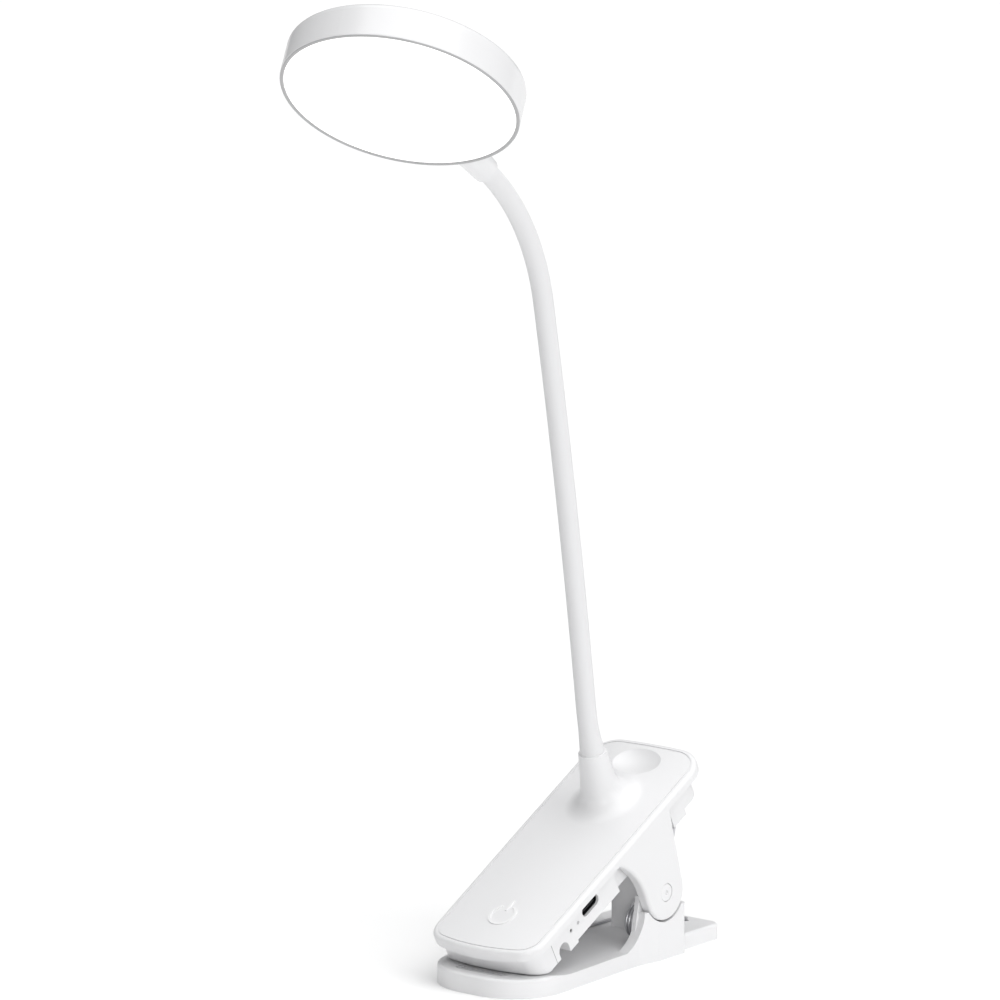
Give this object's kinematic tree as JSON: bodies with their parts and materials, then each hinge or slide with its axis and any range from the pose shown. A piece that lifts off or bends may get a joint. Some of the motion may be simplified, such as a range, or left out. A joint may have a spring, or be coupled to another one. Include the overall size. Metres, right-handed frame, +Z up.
{
  "type": "clip-on reading lamp",
  "caption": "White clip-on reading lamp: a sprung plastic clip with a charging socket and touch key, a bendable gooseneck and a thin round head with a lit opal face.",
  "frame": {"origin": "on the underside of the lower jaw, straight below the hinge pins", "axes": "+Z up, the jaws point along -Y and the charging socket is on the +X side"},
  "size_m": [0.0788, 0.1802, 0.3361],
  "materials": {
    "white_plastic": "fine satin moulding",
    "neck_skin": "smooth silicone skin",
    "grip_rubber": "matte grip pad",
    "spring_wire": "dark oiled spring wire",
    "neck_coil": "bare wound steel",
    "zinc_steel": "zinc plated",
    "brass_fitting": "turned brass",
    "copper_foil": "bare copper foil",
    "cell_pouch": "laminated pouch foil",
    "board_green": "solder mask",
    "board_white": "white solder mask",
    "socket_metal": "drawn shell",
    "clear_light_pipe": "clear moulding",
    "opal_diffuser": "opal sheet, lit from behind",
    "led_phosphor": "phosphor dome",
    "white_film": "reflecting film"
  },
  "bodies": {
    "lower_jaw": {"lower_jaw": "white_plastic", "lower_jaw_pad": "grip_rubber", "foot_pad": "grip_rubber", "hinge_pins": "white_plastic", "spring_coils": "spring_wire"},
    "upper_jaw": {"top_cover": "white_plastic", "power_symbol": "white_plastic", "housing_tray": "white_plastic", "jaw_tip": "white_plastic", "housing_screws": "zinc_steel", "battery_cell": "cell_pouch", "circuit_board": "board_green", "usb_socket": "socket_metal", "indicator_pipes": "clear_light_pipe", "touch_electrode": "copper_foil", "neck_ferrule": "brass_fitting", "neck_nut": "brass_fitting", "neck_root_sleeve": "neck_skin", "neck_root_core": "neck_coil"},
    "spring_arm": {"spring_arms": "spring_wire"},
    "neck_1": {"neck_sleeve_1": "neck_skin", "neck_core_1": "neck_coil"},
    "neck_2": {"neck_sleeve_2": "neck_skin", "neck_core_2": "neck_coil"},
    "neck_3": {"neck_sleeve_3": "neck_skin", "neck_core_3": "neck_coil"},
    "neck_4": {"neck_sleeve_4": "neck_skin", "neck_core_4": "neck_coil"},
    "neck_5": {"neck_sleeve_5": "neck_skin", "neck_core_5": "neck_coil"},
    "neck_6": {"neck_sleeve_6": "neck_skin", "neck_core_6": "neck_coil"},
    "neck_7": {"neck_sleeve_7": "neck_skin", "neck_core_7": "neck_coil"},
    "neck_8": {"neck_sleeve_8": "neck_skin", "neck_core_8": "neck_coil"},
    "neck_9": {"neck_sleeve_9": "neck_skin", "neck_core_9": "neck_coil"},
    "head": {"neck_tip_sleeve": "neck_skin", "neck_tip_core": "neck_coil", "head_collar": "white_plastic", "collar_nut": "brass_fitting", "head_shell": "white_plastic", "diffuser": "opal_diffuser", "led_board": "board_white", "leds": "led_phosphor", "reflector": "white_film", "head_screws": "zinc_steel"}
  },
  "joints": [
    {"name": "clip_hinge", "type": "hinge", "parent": "lower_jaw", "child": "upper_jaw", "pos_m": [0, 0, 0.023], "axis": [-1, 0, 0], "range_deg": [0, 32], "stiffness_Nm_per_rad": 0.8, "springref_deg": -45.84},
    {"name": "spring_arm_turn", "type": "hinge", "parent": "lower_jaw", "child": "spring_arm", "pos_m": [0, 0, 0.01175], "axis": [-1, 0, 0], "range_deg": [0, 31]},
    {"name": "neck_bend_1", "type": "hinge", "parent": "upper_jaw", "child": "neck_1", "pos_m": [0, -0.01478, 0.08788], "axis": [1, 0, 0], "range_deg": [-18, 18]},
    {"name": "neck_lean_1", "type": "hinge", "parent": "neck_1", "child": "neck_2", "pos_m": [0, -0.01762, 0.1081], "axis": [0, 0.9897, 0.1432], "range_deg": [-15, 15]},
    {"name": "neck_bend_2", "type": "hinge", "parent": "neck_2", "child": "neck_3", "pos_m": [0, -0.02063, 0.12829], "axis": [1, 0, 0], "range_deg": [-18, 18]},
    {"name": "neck_lean_2", "type": "hinge", "parent": "neck_3", "child": "neck_4", "pos_m": [0, -0.02381, 0.14846], "axis": [0, 0.9871, 0.16], "range_deg": [-15, 15]},
    {"name": "neck_bend_3", "type": "hinge", "parent": "neck_4", "child": "neck_5", "pos_m": [0, -0.02716, 0.1686], "axis": [1, 0, 0], "range_deg": [-18, 18]},
    {"name": "neck_lean_3", "type": "hinge", "parent": "neck_5", "child": "neck_6", "pos_m": [0, -0.03068, 0.18871], "axis": [0, 0.9843, 0.1767], "range_deg": [-15, 15]},
    {"name": "neck_bend_4", "type": "hinge", "parent": "neck_6", "child": "neck_7", "pos_m": [0, -0.03437, 0.20879], "axis": [1, 0, 0], "range_deg": [-18, 18]},
    {"name": "neck_lean_4", "type": "hinge", "parent": "neck_7", "child": "neck_8", "pos_m": [0, -0.03825, 0.22883], "axis": [0, 0.9762, 0.217], "range_deg": [-15, 15]},
    {"name": "neck_bend_5", "type": "hinge", "parent": "neck_8", "child": "neck_9", "pos_m": [0, -0.04528, 0.24793], "axis": [1, 0, 0], "range_deg": [-18, 18]},
    {"name": "neck_lean_5", "type": "hinge", "parent": "neck_9", "child": "head", "pos_m": [0, -0.05709, 0.26451], "axis": [0, 0.73, 0.6834], "range_deg": [-15, 15]}
  ],
  "couplings": [
    {"joint": "spring_arm_turn", "follows": "clip_hinge", "ratio": 0.95},
    {"joint": "neck_bend_2", "follows": "neck_bend_1", "ratio": 1},
    {"joint": "neck_lean_2", "follows": "neck_lean_1", "ratio": 1},
    {"joint": "neck_bend_3", "follows": "neck_bend_1", "ratio": 1},
    {"joint": "neck_lean_3", "follows": "neck_lean_1", "ratio": 1},
    {"joint": "neck_bend_4", "follows": "neck_bend_1", "ratio": 1},
    {"joint": "neck_lean_4", "follows": "neck_lean_1", "ratio": 1},
    {"joint": "neck_bend_5", "follows": "neck_bend_1", "ratio": 1},
    {"joint": "neck_lean_5", "follows": "neck_lean_1", "ratio": 1}
  ]
}
